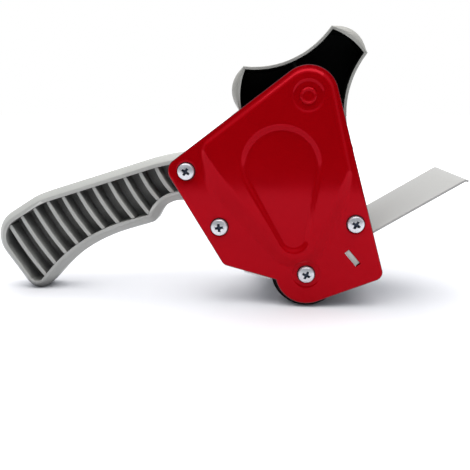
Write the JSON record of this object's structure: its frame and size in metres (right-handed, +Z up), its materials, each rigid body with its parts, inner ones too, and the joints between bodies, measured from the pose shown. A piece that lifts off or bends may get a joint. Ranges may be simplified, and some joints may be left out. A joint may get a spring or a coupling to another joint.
{
  "type": "packing tape dispenser",
  "caption": "Hand-held packing tape gun: red steel side plate, grey ribbed grip, lobed core hub with brake knob, rubber roller, toothed blade and sprung wiper flap.",
  "frame": {"origin": "middle of the bounding box, on the surface the dispenser stands on", "axes": "+X from the grip to the flap, +Y from the side plate to the open side where the tape roll goes on, +Z up"},
  "size_m": [0.2584, 0.061, 0.1461],
  "materials": {
    "red_paint": "gloss red enamel on stamped steel",
    "grey_plastic": "fine moulded grain",
    "hub_plastic": "smooth moulded",
    "pale_plastic": "satin",
    "zinc": "bright zinc plate",
    "steel": "turned steel",
    "spring_steel": "drawn wire",
    "blade_steel": "ground steel",
    "brass": "turned brass",
    "black_plastic": "moulded",
    "black_rubber": "ground rubber",
    "felt": "pressed felt"
  },
  "bodies": {
    "frame": {"side_plate": "red_paint", "handle": "grey_plastic", "handle_screws": "zinc", "roller_screw": "zinc", "bridge_screw": "zinc", "hub_axle": "steel", "hub_washer": "steel", "friction_washer": "felt", "pressure_washer": "steel", "brake_spring": "spring_steel", "roller_axle": "steel", "roller_washers": "steel", "roller_clip": "spring_steel", "front_bridge": "grey_plastic", "blade": "blade_steel", "blade_screws": "zinc", "flap_pin": "steel", "flap_clip": "spring_steel", "flap_spring": "spring_steel", "tape_guide": "pale_plastic", "guide_screws": "zinc"},
    "core_hub": {"core_hub": "hub_plastic"},
    "roller": {"roller_core": "black_plastic", "roller_sleeve": "black_rubber"},
    "wiper_flap": {"wiper_flap": "pale_plastic"},
    "spring_seat": {"spring_seat": "steel"},
    "tension_knob": {"tension_knob": "grey_plastic", "knob_insert": "brass"}
  },
  "joints": [
    {"name": "hub_spin", "type": "hinge", "parent": "frame", "child": "core_hub", "pos_m": [0.04686, 0, 0.1107], "axis": [0, 1, 0], "continuous": true},
    {"name": "roller_spin", "type": "hinge", "parent": "frame", "child": "roller", "pos_m": [0.04746, 0, 0.0185], "axis": [0, 1, 0], "continuous": true},
    {"name": "flap_swing", "type": "hinge", "parent": "frame", "child": "wiper_flap", "pos_m": [0.07186, 0, 0.0349], "axis": [0, -1, 0], "range_deg": [0, 25], "stiffness_Nm_per_rad": 0.04, "springref_deg": -34.38, "deforming": ["flap_spring"]},
    {"name": "seat_slide", "type": "slide", "parent": "frame", "child": "spring_seat", "axis": [0, -1, 0], "range_m": [-0.003, 0.003], "deforming": ["brake_spring"]},
    {"name": "knob_turn", "type": "hinge", "parent": "spring_seat", "child": "tension_knob", "pos_m": [0.04686, 0, 0.1107], "axis": [0, -1, 0], "range_deg": [-720, 720]}
  ],
  "couplings": [
    {"joint": "seat_slide", "follows": "knob_turn", "m_per_rad": 0.0002387}
  ]
}
